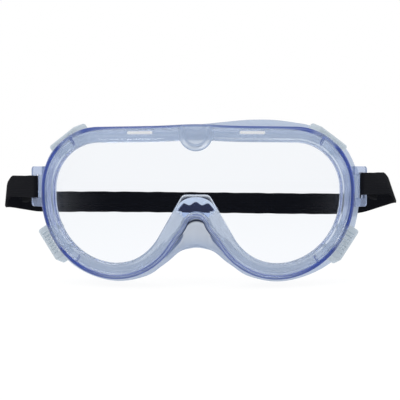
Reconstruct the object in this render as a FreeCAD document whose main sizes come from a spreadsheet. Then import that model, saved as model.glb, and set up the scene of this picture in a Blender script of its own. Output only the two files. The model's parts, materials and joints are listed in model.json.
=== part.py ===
import FreeCAD, Part
import math
import os
import Sketcher
from FreeCAD import Placement, Rotation, Vector

# Chemical-splash safety goggles with indirect vents, in millimetres.
# +X is to the right of someone looking at the lens, +Y runs from the lens to the wearer, +Z is up.
# The origin is the middle of the rim's front face, on the symmetry plane.
# "Left" and "right" in the names are as seen by someone looking at the lens.

SIZES = [
    # the lens and the front view of the rim
    ("lens_curve_radius", 160.0, "bend of the lens and rim about a vertical axis"),
    ("rim_half_width", 87.3, "half the width of the rim"),
    ("rim_top", 41.1, "height of the rim's top line"),
    ("rim_bottom", -41.0, "height of the lowest points of the rim"),
    ("rim_corner_radius", 34.0, "upper corners of the rim"),
    ("rim_lobe_radius", 44.4, "round lower half under each eye"),
    ("rim_nose_corner_radius", 37.2, "where the lobe turns up to the nose"),
    ("rim_nose_corner_across", 44.2, "centre of that turn, from the symmetry plane"),
    ("rim_nose_top", -7.7, "top of the nose arch in the rim"),
    ("rim_nose_radius", 6.4, "nose arch in the rim"),
    # the edge that lies on the face
    ("face_half_width", 94.0, "half the width of the face edge"),
    ("face_top", 45.5, "height of the face edge at the forehead"),
    ("face_bottom", -46.0, "lowest points of the face edge"),
    ("face_corner_radius", 36.0, "upper corners of the face edge"),
    ("face_lobe_radius", 48.0, "face edge under each eye"),
    ("face_nose_corner_radius", 40.5, "face edge where it rises to the nose"),
    ("face_nose_corner_across", 46.8, "centre of that rise, from the symmetry plane"),
    ("face_nose_top", -24.8, "top of the arch that sits on the nose"),
    ("face_nose_radius", 14.0, "arch that sits on the nose"),
    ("face_depth", 32.0, "from the rim's front face back to the face edge"),
    ("nose_relief", 15.0, "how much shallower the frame is over the nose"),
    ("nose_relief_reach", 24.0, "how far that relief spreads from the nose"),
    # the section of the moulded frame
    ("wall_bend_start", 0.35, "share of the wall's length where it starts to flare"),
    ("wall_bend_start_flare", 0.05, "share of the flare reached there"),
    ("wall_bend_end", 0.75, "share of the wall's length where it flares most"),
    ("wall_bend_end_flare", 0.28, "share of the flare reached there"),
    ("flange_roll", 2.5, "the flange's round outer edge, in edge thicknesses"),
    ("rim_depth", 8.0, "thickness of the rim that holds the lens, front to back"),
    ("rim_edge_break", 1.0, "bevel round the rim's front edge"),
    ("wall_step", 1.2, "the wall sits this far inside the rim"),
    ("wall_thickness", 2.0, "thickness of the wall"),
    ("lip_width", 8.4, "rim's outer edge to the clear opening"),
    ("groove_bottom", 2.6, "rim's outer edge to the bottom of the lens groove"),
    ("front_lip", 1.9, "front lip that holds the lens"),
    ("groove_width", 2.1, "lens groove, front to back"),
    ("rear_lip", 2.2, "rear lip that holds the lens"),
    ("seal_width", 7.5, "width of the soft flange on the face"),
    ("seal_edge", 1.0, "thickness of the flange at its edge"),
    ("foot_height", -45.6, "flats under the two lobes, which it stands on"),
    ("badge_radius", 9.0, "plain round button at the top of the front lip"),
    ("badge_height", 36.7, "centre of the button"),
    ("badge_top", 42.2, "flat top of the button"),
    # the lens
    ("lens_thickness", 2.0, "polycarbonate sheet"),
    ("lens_inset", 2.8, "rim's outer edge to the lens edge"),
    ("fit_gap", 0.05, "gap in front of the lens in its groove"),
    # the vent caps
    ("cap_length", 21.5, "vent cap along the rim"),
    ("cap_depth", 13.0, "vent cap front to back"),
    ("upper_cap_height", 4.8, "upper vent caps above the wall"),
    ("lower_cap_height", 8.4, "lower vent caps above the wall"),
    ("cap_skin", 1.2, "vent cap wall"),
    ("cap_root", 3.0, "extra height below the wall before it is trimmed"),
    ("cap_corner_radius", 1.5, "vent cap corners"),
    ("cap_slot_width", 1.0, "air slot along the rim"),
    ("cap_slot_pitch", 2.2, "spacing of the air slots"),
    ("cap_slot_count", 7.0, "air slots in the front and back of a cap"),
    ("cap_slot_low", 1.2, "lower end of a slot above the wall"),
    ("cap_slot_top", 1.6, "upper end of a slot below the top of the cap"),
    ("cap_gap", 0.15, "gap between a cap and the wall under it"),
    ("cap_trim_reach", 7.0, "depth of the ring that trims the caps to the wall"),
    ("cap_set_back", 18.0, "from the rim's front face to the middle of a cap"),
    ("upper_cap_angle", 55.3, "place of the upper caps round the corner"),
    ("lower_cap_angle", -35.5, "place of the lower caps round the lobe"),
    ("peg_radius", 1.3, "snap pegs of a vent cap"),
    ("peg_reach", 4.5, "how far a peg goes below the wall's surface"),
    ("peg_spacing", 14.0, "between the two pegs of a cap"),
    ("peg_hole_radius", 1.45, "hole in the wall for a peg"),
    ("air_hole_radius", 1.2, "air hole in the wall under a cap"),
    ("air_hole_pitch", 3.0, "spacing of the air holes"),
    # the strap clips and the lugs they swing on
    ("hinge_across", 89.0, "hinge axis from the symmetry plane"),
    ("hinge_back", 42.0, "hinge axis behind the rim's front face"),
    ("hinge_height", 8.4, "middle of the lugs and clips above the rim's middle"),
    ("bar_radius", 1.5, "clip's hinge bar"),
    ("lug_bore_radius", 1.55, "bore of the lug that holds the bar"),
    ("lug_radius", 2.7, "outside of the lug"),
    ("lug_half_height", 6.4, "half the height of the lug"),
    ("lug_root", 3.4, "from the hinge axis in to the wall"),
    ("lug_mouth", 2.2, "opening the hinge bar snaps in through"),
    ("clip_half_height", 11.6, "half the height of a clip"),
    ("clip_arm", 4.7, "height of a clip's upper and lower arms"),
    ("clip_thickness", 2.2, "thickness of a clip"),
    ("clip_start", 1.4, "from the hinge axis to the clip's inner end"),
    ("clip_length", 11.4, "from the hinge axis to the clip's outer end"),
    ("lug_window_end", 3.1, "end of the window that clears the lug"),
    ("slot_start", 4.5, "start of the strap slot"),
    ("slot_end", 8.8, "end of the strap slot"),
    ("clip_corner_radius", 2.0, "outer corners of a clip"),
    ("clip_angle", 45.0, "clip at rest, turned out from straight back"),
    # the elastic headband
    ("band_height", 12.8, "half-inch elastic"),
    ("band_thickness", 1.3, "elastic"),
    ("band_turn", 1.85, "half the space between the two layers at a clip"),
    ("band_turn_place", 7.9, "from the hinge axis to the turn round the clip"),
    ("band_tail", 26.0, "from the hinge axis to the cut end of the tail"),
    ("band_straight", 34.5, "from the hinge axis to the bend at the side"),
    ("band_bend_radius", 8.0, "bend at each side"),
    ("band_rear_lean", 7.0, "slope of the rear run where it meets the bend"),
    ("band_droop", 15.0, "slope of the band's edges, lower at the back"),
]

# how many points the rails of the frame take on each line or arc of half an outline
STEPS = (12, 9, 3, 13, 9, 3, 6)
# a ruled face joins the first end of one curve to the first end of the next
SAME_WAY = 1

doc = FreeCAD.newDocument("SafetyGoggles")
sheet = doc.addObject("Spreadsheet::Sheet", "Sizes")


def fill_sheet():
    """Write every driving dimension to the sheet, with its name as the cell's alias."""
    for row, (name, value, note) in enumerate(SIZES, start=1):
        sheet.set(f"A{row}", name)
        sheet.set(f"B{row}", str(value))
        sheet.set(f"C{row}", note)
        sheet.setAlias(f"B{row}", name)
    doc.recompute()


def size(name):
    """A driving dimension, read from the sheet."""
    return float(getattr(sheet, name))


def number(expression):
    """The present value of an expression on the sheet."""
    return float(sheet.evalExpression(expression))


# ---------------------------------------------------------------- front view outlines


class Outline:
    """The goggles' front view: a top line, two corners, two lobes and a nose arch.

    Each half is a chain of circles joined by tangent lines, so an outline that is moved
    outwards by an offset keeps its centres and only changes its radii.
    """

    def __init__(self, name):
        half_width = size(name + "_half_width")
        top = size(name + "_top")
        corner = size(name + "_corner_radius")
        lobe = size(name + "_lobe_radius")
        turn = size(name + "_nose_corner_radius")
        across = size(name + "_nose_corner_across")
        arch = size(name + "_nose_radius")
        self.radii = (corner, lobe, turn, arch)
        self.corner = (half_width - corner, top - corner)
        self.lobe = (half_width - lobe, size(name + "_bottom") + lobe)
        drop = math.sqrt((lobe - turn) ** 2 - (self.lobe[0] - across) ** 2)
        self.turn = (across, self.lobe[1] - drop)
        self.arch = (0.0, size(name + "_nose_top") - arch)
        # the lobe ends where the nose turn touches it from inside
        self.lobe_end = math.atan2(-drop, across - self.lobe[0])
        # the flank is the line that touches the nose turn on one side and the arch on the other
        run = (-across, self.arch[1] - self.turn[1])
        lean = math.acos((turn + arch) / math.hypot(*run))
        self.flank = math.remainder(math.atan2(run[1], run[0]) + lean, 2 * math.pi)

    def pieces(self, offset=0.0):
        """The right half from the top middle to the nose: lines and arcs, in order."""
        corner, lobe, turn, arch = (r + s * offset for r, s in zip(self.radii, (1, 1, 1, -1)))
        arc_list = [
            ("arc", self.corner, corner, math.pi / 2, 0.0),
            ("arc", self.lobe, lobe, 0.0, self.lobe_end),
            ("arc", self.turn, turn, self.lobe_end, self.flank),
            ("arc", self.arch, arch, self.flank + math.pi, math.pi / 2),
        ]
        ends = [(on_circle(a[1], a[2], a[3]), on_circle(a[1], a[2], a[4])) for a in arc_list]
        return [
            ("line", (0.0, ends[0][0][1]), ends[0][0]),
            arc_list[0],
            ("line", ends[0][1], ends[1][0]),
            arc_list[1],
            arc_list[2],
            ("line", ends[2][1], ends[3][0]),
            arc_list[3],
        ]

    def stations(self, offset=0.0):
        """Points all the way round, the same number on each piece whatever the offset."""
        half = []
        for piece, count in zip(self.pieces(offset), STEPS):
            half += [along(piece, i / count) for i in range(count)]
        half.append((0.0, self.arch[1] + self.radii[3] - offset))
        return half + [(-x, z) for x, z in reversed(half[1:-1])]


def on_circle(centre, radius, angle):
    """The point at an angle on a circle."""
    return (centre[0] + radius * math.cos(angle), centre[1] + radius * math.sin(angle))


def along(piece, fraction):
    """The point at a fraction of a line's or an arc's length."""
    if piece[0] == "line":
        start, end = piece[1], piece[2]
        return tuple(a + fraction * (b - a) for a, b in zip(start, end))
    centre, radius, first, last = piece[1:]
    return on_circle(centre, radius, first + fraction * (last - first))


# ---------------------------------------------------------------- the moulded frame


def back_from_front(x, depth):
    """The Y of a point at a depth behind the curved front face.

    Within the rim the depth is measured square to the curve, so the lens groove has an even
    width, and behind the rim straight back, so the wall runs straight to the face.
    """
    radius = size("lens_curve_radius")
    square = min(depth, size("rim_depth"))
    return radius - math.sqrt((radius - square) ** 2 - x**2) + depth - square


def face_depths(rim, face):
    """Depth of the face edge behind the rim's front face at each station, less at the nose."""
    nose = (0.0, size("face_nose_top"))
    reach = size("nose_relief_reach")
    depths = []
    for x, z in face.stations():
        away = math.hypot(x - nose[0], z - nose[1])
        depths.append(size("face_depth") - size("nose_relief") * math.exp(-((away / reach) ** 2)))
    return depths


def rail_points(rim, face, depths, corner):
    """The closed row of points that one corner of the section draws round the goggles."""
    blend, offset, share, depth = corner
    start = size("rim_depth")
    points = []
    for a, b, deep in zip(rim.stations(offset), face.stations(offset), depths):
        x = a[0] + blend * (b[0] - a[0])
        z = a[1] + blend * (b[1] - a[1])
        points.append(Vector(x, back_from_front(x, depth + share * (deep - start)), z))
    return points + points[:1]


def ring_solid(rim, face, section):
    """A closed ring that follows the goggles' outline, from the corners of its section.

    A corner is (blend, offset, share, depth): blend 0 is on the rim's outline and 1 on the
    face edge's, offset is outwards, and it lies at depth plus that share of the wall's length.
    Each corner draws a rail, in one curve for each line or arc of the outline, and a ruled
    face joins each curve to its neighbour on the next rail.
    """
    depths = face_depths(rim, face)
    breaks = [sum(STEPS[:i]) for i in range(len(STEPS) + 1)]
    breaks += [len(depths) - b for b in reversed(breaks[:-1])]
    rails = []
    for corner in section:
        points = rail_points(rim, face, depths, corner)
        rail = []
        for first, last in zip(breaks, breaks[1:]):
            curve = Part.BSplineCurve()
            curve.interpolate(Points=points[first:last + 1])
            rail.append(curve.toShape())
        rails.append(rail)
    faces = []
    for rail, following in zip(rails, rails[1:] + rails[:1]):
        faces += [Part.makeRuledSurface(a, b, SAME_WAY) for a, b in zip(rail, following)]
    shell = Part.makeShell(faces)
    shell.sewShape()
    solid = Part.makeSolid(shell)
    if solid.Volume < 0:
        solid.reverse()
    return solid


def frame_section():
    """The corners of the frame's section: rim, wall, face flange, then back to the groove."""
    rim = size("rim_depth")
    step = size("wall_step")
    inner = step + size("wall_thickness")
    lip = size("lip_width")
    groove = size("groove_bottom")
    groove_front = size("front_lip")
    groove_back = groove_front + size("groove_width")
    bevel = size("rim_edge_break")
    edge = size("seal_edge")
    early, late = wall_bends()
    return [
        (0.0, -bevel, 0.0, 0.0),
        (0.0, 0.0, 0.0, bevel),
        (0.0, 0.0, 0.0, rim - step),
        (0.0, -step, 0.0, rim),
        (early[1], -step, early[0], rim),
        (late[1], -step, late[0], rim),
        (1.0, 0.0, 1.0, rim - size("flange_roll") * edge),
        (1.0, 0.0, 1.0, rim - edge),
        (1.0, -size("seal_width"), 1.0, rim),
        (late[1], -inner, late[0], rim),
        (early[1], -inner, early[0], rim),
        (0.0, -inner, 0.0, rim),
        (0.0, -lip, 0.0, groove_back + size("rear_lip")),
        (0.0, -lip, 0.0, groove_back),
        (0.0, -groove, 0.0, groove_back),
        (0.0, -groove, 0.0, groove_front),
        (0.0, -lip, 0.0, groove_front),
        (0.0, -lip, 0.0, rim_bevel_depth()),
    ]


def wall_bends():
    """Where the wall bends outwards: (share of its length, share of its flare), twice."""
    return [(size(f"wall_bend_{at}"), size(f"wall_bend_{at}_flare")) for at in ("start", "end")]


def rim_bevel_depth():
    """Depth of the front lip's inner edge, which is eased by half the rim's bevel."""
    return size("rim_edge_break") / 2


def wall_clearance_section():
    """A thick ring just outside the wall, used to trim the vent caps to its curve."""
    rim = size("rim_depth")
    out = size("cap_gap") - size("wall_step")
    deep = out - size("cap_trim_reach")
    rolled = rim - size("flange_roll") * size("seal_edge")
    early, late = wall_bends()
    return [
        (0.0, out, 0.0, rim),
        (early[1], out, early[0], rim),
        (late[1], out, late[0], rim),
        (1.0, size("cap_gap"), 1.0, rolled),
        (1.0, deep, 1.0, rolled),
        (late[1], deep, late[0], rim),
        (early[1], deep, early[0], rim),
        (0.0, deep, 0.0, rim),
    ]


def feature(name, shape):
    """A document object that holds a computed shape."""
    holder = doc.addObject("Part::Feature", name)
    holder.Shape = shape
    return holder


def bind(target, **expressions):
    """Set an object's properties to expressions on the sheet."""
    for path, expression in expressions.items():
        target.setExpression(path.replace("__", "."), expression)


def cylinder(name, radius, height):
    """A cylinder whose radius and height follow the sheet."""
    round_bar = doc.addObject("Part::Cylinder", name)
    bind(round_bar, Radius=radius, Height=height)
    return round_bar


def box(name, length, width, height):
    """A box whose three sizes follow the sheet."""
    block = doc.addObject("Part::Box", name)
    bind(block, Length=length, Width=width, Height=height)
    return block


def join(name, shapes):
    """One solid from several that overlap."""
    fused = doc.addObject("Part::MultiFuse", name)
    fused.Shapes = shapes
    return fused


def cut(name, base, tool):
    """A base with a tool taken out of it."""
    result = doc.addObject("Part::Cut", name)
    result.Base = base
    result.Tool = tool
    return result


def cap_places(rim):
    """Name, point on the wall and axes (along, back, out) of each of the four vent caps."""
    places = []
    for level, centre, radius in (
        ("upper", rim.corner, rim.radii[0]),
        ("lower", rim.lobe, rim.radii[1]),
    ):
        angle = math.radians(size(level + "_cap_angle"))
        x, z = on_circle(centre, radius - size("wall_step"), angle)
        slope = x / math.sqrt(size("lens_curve_radius") ** 2 - x**2)
        for side, sign in (("left", -1), ("right", 1)):
            point = Vector(sign * x, back_from_front(x, size("cap_set_back")), z)
            out = Vector(sign * math.cos(angle), 0, math.sin(angle))
            run = Vector(math.sin(angle), sign * slope * math.sin(angle),
                         -sign * math.cos(angle))
            run.normalize()
            places.append((f"{level}_{side}", point, run, out))
    return places


def cap_frame(point, run, out):
    """A placement with X along the rim, Y towards the wearer and Z out of the wall."""
    back = out.cross(run)
    turn = Rotation(run, back, out, "ZXY")
    return Placement(point, turn)


def make_frame(rim, face):
    """The one-piece soft frame: moulded ring, clip lugs, button, flats and vent holes."""
    skin = feature("frame_skin", ring_solid(rim, face, frame_section()))
    badge = cylinder("badge_round", "Sizes.badge_radius", "Sizes.front_lip + Sizes.rim_edge_break")
    badge.Placement = Placement(Vector(0, -size("rim_edge_break"), size("badge_height")),
                                Rotation(Vector(1, 0, 0), -90))
    badge_room = box("badge_room", "2 * Sizes.badge_radius", "2 * Sizes.rim_depth",
                     "2 * Sizes.badge_radius")
    badge_room.Placement.Base = Vector(-size("badge_radius"), -size("rim_depth"),
                                       size("badge_top") - 2 * size("badge_radius"))
    button = doc.addObject("Part::Common", "badge")
    button.Base = badge
    button.Tool = badge_room
    solid = join("frame_solid", [skin, button] + [make_lug(s) for s in (-1, 1)])
    tools = [make_lug_bore(s) for s in (-1, 1)] + make_feet() + make_wall_holes(rim)
    frame = cut("frame", solid, join("frame_cuts", tools))
    return frame


def lug_name(side, what):
    """Name of one side's lug piece."""
    return f"{what}_{'left' if side < 0 else 'right'}"


def make_lug(side):
    """The lug on the side of the wall that a clip's bar snaps into."""
    post = cylinder(lug_name(side, "lug_post"), "Sizes.lug_radius", "2 * Sizes.lug_half_height")
    post.Placement.Base = Vector(side * size("hinge_across"), size("hinge_back"),
                                 size("hinge_height") - size("lug_half_height"))
    web = box(lug_name(side, "lug_web"), "Sizes.lug_root", "2 * Sizes.lug_radius",
              "2 * Sizes.lug_half_height")
    inner = size("hinge_across") - size("lug_root")
    left = inner if side > 0 else -size("hinge_across")
    web.Placement.Base = Vector(left, size("hinge_back") - size("lug_radius"),
                                size("hinge_height") - size("lug_half_height"))
    return join(lug_name(side, "lug"), [post, web])


def make_lug_bore(side):
    """The bore for the clip's bar, with the narrower mouth it snaps in through."""
    bore = cylinder(lug_name(side, "lug_bore"), "Sizes.lug_bore_radius",
                    "4 * Sizes.lug_half_height")
    below = size("hinge_height") - 2 * size("lug_half_height")
    bore.Placement.Base = Vector(side * size("hinge_across"), size("hinge_back"), below)
    mouth = box(lug_name(side, "lug_mouth_cut"), "2 * Sizes.lug_radius", "Sizes.lug_mouth",
                "4 * Sizes.lug_half_height")
    left = size("hinge_across") if side > 0 else -size("hinge_across") - 2 * size("lug_radius")
    mouth.Placement.Base = Vector(left, size("hinge_back") - size("lug_mouth") / 2, below)
    return join(lug_name(side, "lug_opening"), [bore, mouth])


def make_feet():
    """The block that takes a flat off the bottom of both lobes."""
    ground = box("ground", "2 * Sizes.face_half_width", "3 * Sizes.face_depth",
                 "Sizes.seal_width")
    ground.Placement.Base = Vector(-size("face_half_width"), 0,
                                   size("foot_height") - size("seal_width"))
    return [ground]


def make_wall_holes(rim):
    """Two peg holes and a row of air holes through the wall under each vent cap."""
    holes = []
    length = "2 * (Sizes.wall_thickness + Sizes.cap_root)"
    deep = Vector(0, 0, -(size("wall_thickness") + size("cap_root")))
    for label, point, run, out in cap_places(rim):
        spots = [(s * size("peg_spacing") / 2, "Sizes.peg_hole_radius") for s in (-1, 1)]
        spots += [(s * size("air_hole_pitch"), "Sizes.air_hole_radius") for s in (-1, 0, 1)]
        for index, (place, radius) in enumerate(spots):
            hole = cylinder(f"hole_{label}_{index}", radius, length)
            local = Placement(deep + Vector(place, 0, 0), Rotation())
            hole.Placement = cap_frame(point, run, out).multiply(local)
            holes.append(hole)
    return holes


# ---------------------------------------------------------------- sketches and bodies


def origin_plane(body, role):
    """One of a body's own origin planes."""
    return next(f for f in body.Origin.OriginFeatures if f.Role == role)


def sketch_on(body, name, role, height=0.0):
    """An empty sketch on one of a body's origin planes, moved off it by a height."""
    sketch = body.newObject("Sketcher::SketchObject", name)
    sketch.AttachmentSupport = [(origin_plane(body, role), "")]
    sketch.MapMode = "FlatFace"
    sketch.AttachmentOffset = Placement(Vector(0, 0, height), Rotation())
    return sketch


def hold(sketch, constraint, expression):
    """Add a dimension and bind it to the sheet."""
    index = sketch.addConstraint(constraint)
    sketch.setExpression(f"Constraints[{index}]", expression)


def rectangle(sketch, left, right, bottom, top):
    """A rectangle whose four sides are expressions on the sheet."""
    x0, x1, y0, y1 = (number(e) for e in (left, right, bottom, top))
    corners = [Vector(x0, y0, 0), Vector(x1, y0, 0), Vector(x1, y1, 0), Vector(x0, y1, 0)]
    lines = [Part.LineSegment(a, b) for a, b in zip(corners, corners[1:] + corners[:1])]
    first = sketch.addGeometry(lines, False)[0]
    for i in range(4):
        sketch.addConstraint(Sketcher.Constraint("Coincident", first + i, 2, first + (i + 1) % 4, 1))
        kind = "Horizontal" if i % 2 == 0 else "Vertical"
        sketch.addConstraint(Sketcher.Constraint(kind, first + i))
    hold(sketch, Sketcher.Constraint("DistanceX", -1, 1, first, 1, x0), left)
    hold(sketch, Sketcher.Constraint("DistanceX", -1, 1, first + 1, 2, x1), right)
    hold(sketch, Sketcher.Constraint("DistanceY", -1, 1, first, 1, y0), bottom)
    hold(sketch, Sketcher.Constraint("DistanceY", -1, 1, first + 2, 1, y1), top)


def feature_on(body, kind, name, sketch, **settings):
    """A pad or pocket made from a sketch, with its settings bound to the sheet."""
    made = body.newObject("PartDesign::" + kind, name)
    made.Profile = sketch
    for key, value in settings.items():
        if isinstance(value, str) and "Sizes." in value:
            made.setExpression(key, value)
        else:
            setattr(made, key, value)
    sketch.Visibility = False
    doc.recompute()
    return made


def mirror_point(point):
    """A point of the front view reflected in the symmetry plane."""
    return (-point[0], point[1])


def mirror_piece(piece):
    """A line or arc of the front view reflected, and run the other way."""
    if piece[0] == "line":
        return ("line", mirror_point(piece[2]), mirror_point(piece[1]))
    centre, radius, first, last = piece[1:]
    return ("arc", mirror_point(centre), radius, math.pi - last, math.pi - first)


def whole_loop(outline, inset):
    """All twelve lines and arcs round an outline moved inwards, in order from the top."""
    half = outline.pieces(-inset)
    right = half[1:-1]
    top = ("line", mirror_point(half[0][2]), half[0][2])
    centre, radius, first = half[-1][1:4]
    arch = ("arc", centre, radius, first, math.pi - first)
    return [top] + right + [arch] + [mirror_piece(piece) for piece in reversed(right)]


def draw_loop(sketch, name, outline, inset):
    """Draw a closed outline in a sketch, every radius and centre held to the sheet."""
    joints = []
    arcs = []
    for piece in whole_loop(outline, number(inset)):
        if piece[0] == "line":
            line = Part.LineSegment(Vector(*piece[1], 0), Vector(*piece[2], 0))
            joints.append((sketch.addGeometry(line, False), 1, 2))
            continue
        centre, radius, first, last = piece[1:]
        whole = Part.Circle(Vector(*centre, 0), Vector(0, 0, 1), radius)
        arc = Part.ArcOfCircle(whole, min(first, last), max(first, last))
        index = sketch.addGeometry(arc, False)
        arcs.append((index, centre, radius))
        joints.append((index, 1, 2) if first < last else (index, 2, 1))
    for here, there in zip(joints, joints[1:] + joints[:1]):
        sketch.addConstraint(
            Sketcher.Constraint("Tangent", here[0], here[2], there[0], there[1])
        )
    rim = "Sizes." + name + "_"
    kinds = ("corner", "lobe", "turn", "arch", "turn", "lobe", "corner")
    for (index, centre, radius), kind in zip(arcs, kinds):
        side = "" if centre[0] > 0 else "-"
        across, up, reach = {
            "corner": (f"{rim}half_width - {rim}corner_radius", f"{rim}top - {rim}corner_radius",
                       f"{rim}corner_radius - ({inset})"),
            "lobe": (f"{rim}half_width - {rim}lobe_radius", f"{rim}bottom + {rim}lobe_radius",
                     f"{rim}lobe_radius - ({inset})"),
            "turn": (f"{rim}nose_corner_across", None, f"{rim}nose_corner_radius - ({inset})"),
            "arch": (None, f"{rim}nose_top - {rim}nose_radius", f"{rim}nose_radius + ({inset})"),
        }[kind]
        hold(sketch, Sketcher.Constraint("Radius", index, radius), reach)
        if across:
            hold(sketch, Sketcher.Constraint("DistanceX", -1, 1, index, 3, centre[0]),
                 f"{side}({across})")
        else:
            sketch.addConstraint(Sketcher.Constraint("PointOnObject", index, 3, -2))
        if up:
            hold(sketch, Sketcher.Constraint("DistanceY", -1, 1, index, 3, centre[1]), up)


# ---------------------------------------------------------------- the lens


def draw_bent_sheet(sketch, front, back, half_width):
    """The plan of a bent sheet: two arcs about one centre, closed by a line at each end."""
    radius = size("lens_curve_radius")
    reach = number(half_width)
    arcs = []
    for depth in (front, back):
        bend = radius - number(depth)
        spread = math.asin(reach / bend)
        whole = Part.Circle(Vector(0, radius, 0), Vector(0, 0, 1), bend)
        arc = Part.ArcOfCircle(whole, -math.pi / 2 - spread, -math.pi / 2 + spread)
        index = sketch.addGeometry(arc, False)
        arcs.append(index)
        hold(sketch, Sketcher.Constraint("Radius", index, bend),
             f"Sizes.lens_curve_radius - ({depth})")
    sketch.addConstraint(Sketcher.Constraint("PointOnObject", arcs[0], 3, -2))
    hold(sketch, Sketcher.Constraint("DistanceY", -1, 1, arcs[0], 3, radius),
         "Sizes.lens_curve_radius")
    sketch.addConstraint(Sketcher.Constraint("Coincident", arcs[0], 3, arcs[1], 3))
    for end, side in ((1, -1), (2, 1)):
        points = [sketch.getPoint(index, end) for index in arcs]
        line = sketch.addGeometry(Part.LineSegment(*points), False)
        sketch.addConstraint(Sketcher.Constraint("Coincident", line, 1, arcs[0], end))
        sketch.addConstraint(Sketcher.Constraint("Coincident", line, 2, arcs[1], end))
        sketch.addConstraint(Sketcher.Constraint("Vertical", line))
        sign = "-" if side < 0 else ""
        hold(sketch, Sketcher.Constraint("DistanceX", -1, 1, line, 1, side * reach),
             f"{sign}({half_width})")


def make_lens(rim):
    """The one-piece curved lens: a bent sheet trimmed to the groove's outline."""
    body = doc.addObject("PartDesign::Body", "lens")
    plan = sketch_on(body, "lens_plan", "XY_Plane")
    front = "Sizes.front_lip + Sizes.fit_gap"
    draw_bent_sheet(plan, front, front + " + Sizes.lens_thickness", "Sizes.rim_half_width + 4")
    feature_on(body, "Pad", "lens_sheet", plan, Midplane=True, Length="3 * Sizes.rim_top")
    trim = sketch_on(body, "lens_trim", "XZ_Plane")
    rectangle(trim, "-(Sizes.rim_half_width + 20)", "Sizes.rim_half_width + 20",
              "-2 * Sizes.rim_top", "2 * Sizes.rim_top")
    draw_loop(trim, "rim", rim, "Sizes.lens_inset")
    feature_on(body, "Pocket", "lens_outline", trim, Midplane=True, Type="ThroughAll")
    return body


# ---------------------------------------------------------------- vent caps


def cap_height(label):
    """The size on the sheet that holds a cap's height: upper and lower caps differ."""
    return f"{label.split('_')[0]}_cap_height"


def make_cap_body(label):
    """A vent cap before it is trimmed to the wall: a hollow block with rows of air slots."""
    body = doc.addObject("PartDesign::Body", "cap_body_" + label)
    length, depth, skin = "Sizes.cap_length", "Sizes.cap_depth", "Sizes.cap_skin"
    block = sketch_on(body, "cap_block_" + label, "XY_Plane", -size("cap_root"))
    rectangle(block, f"-{length} / 2", f"{length} / 2", f"-{depth} / 2", f"{depth} / 2")
    pad = feature_on(body, "Pad", "cap_pad_" + label, block,
                     Length=f"Sizes.{cap_height(label)} + Sizes.cap_root")
    top = size(cap_height(label))
    rounded = body.newObject("PartDesign::Fillet", "cap_round_" + label)
    rounded.Base = (pad, [f"Edge{i}" for i, edge in enumerate(pad.Shape.Edges, start=1)
                          if edge.BoundBox.ZMax > top - 1e-6])
    rounded.setExpression("Radius", "Sizes.cap_corner_radius")
    doc.recompute()
    hollow = sketch_on(body, "cap_hollow_" + label, "XY_Plane", -size("cap_root"))
    rectangle(hollow, f"-{length} / 2 + {skin}", f"{length} / 2 - {skin}",
              f"-{depth} / 2 + {skin}", f"{depth} / 2 - {skin}")
    feature_on(body, "Pocket", "cap_cavity_" + label, hollow, Reversed=True,
               Length=f"Sizes.{cap_height(label)} + Sizes.cap_root - {skin}")
    slot = sketch_on(body, "cap_slot_" + label, "XZ_Plane")
    first = "-(Sizes.cap_slot_count - 1) * Sizes.cap_slot_pitch / 2"
    rectangle(slot, f"{first} - Sizes.cap_slot_width / 2", f"{first} + Sizes.cap_slot_width / 2",
              "Sizes.cap_slot_low", f"Sizes.{cap_height(label)} - Sizes.cap_slot_top")
    opening = feature_on(body, "Pocket", "cap_opening_" + label, slot, Midplane=True,
                         Type="ThroughAll")
    row = body.newObject("PartDesign::LinearPattern", "cap_row_" + label)
    row.Originals = [opening]
    row.Direction = (slot, ["H_Axis"])
    row.setExpression("Length", "(Sizes.cap_slot_count - 1) * Sizes.cap_slot_pitch")
    row.setExpression("Occurrences", "Sizes.cap_slot_count")
    body.Tip = row
    doc.recompute()
    return body


def make_vent_cap(place, clearance):
    """One vent cap in place: its block trimmed to the wall, with two snap pegs."""
    label, point, run, out = place
    body = make_cap_body(label)
    body.Placement = cap_frame(point, run, out)
    trimmed = cut("cap_trimmed_" + label, body, clearance)
    pegs = []
    for index, side in enumerate((-1, 1)):
        peg = cylinder(f"peg_{label}_{index}", "Sizes.peg_radius",
                       f"Sizes.peg_reach + Sizes.{cap_height(label)} - Sizes.cap_skin / 2")
        local = Placement(Vector(side * size("peg_spacing") / 2, 0, -size("peg_reach")), Rotation())
        peg.Placement = cap_frame(point, run, out).multiply(local)
        pegs.append(peg)
    return join("vent_cap_" + label, [trimmed] + pegs)


# ---------------------------------------------------------------- strap clips


def hinge_point(side):
    """The middle of one side's hinge axis."""
    return Vector(side * size("hinge_across"), size("hinge_back"), size("hinge_height"))


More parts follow.
